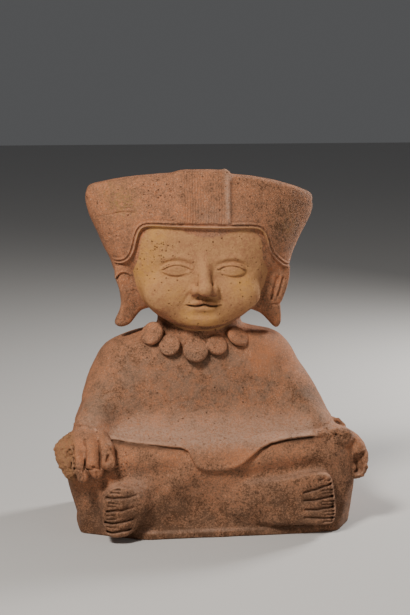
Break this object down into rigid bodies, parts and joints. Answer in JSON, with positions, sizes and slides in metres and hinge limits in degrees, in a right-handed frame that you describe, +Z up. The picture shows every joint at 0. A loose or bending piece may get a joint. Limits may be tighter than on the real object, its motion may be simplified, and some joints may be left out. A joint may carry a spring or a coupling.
{
  "type": "seated clay figure",
  "caption": "Seated fired-clay figure with folded legs, a broad cape, a disc necklace and a tall flaring headdress, standing on its flat underside.",
  "frame": {"origin": "on the surface the figure stands on, in the middle of its base", "axes": "+Z up, the figure faces -Y, its own right side is at -X"},
  "size_m": [0.2701, 0.1623, 0.3077],
  "materials": {
    "clay": "matte, unglazed, worn, with traces of a pale slip on the face"
  },
  "bodies": {
    "root": {"figure": "clay"}
  },
  "joints": []
}
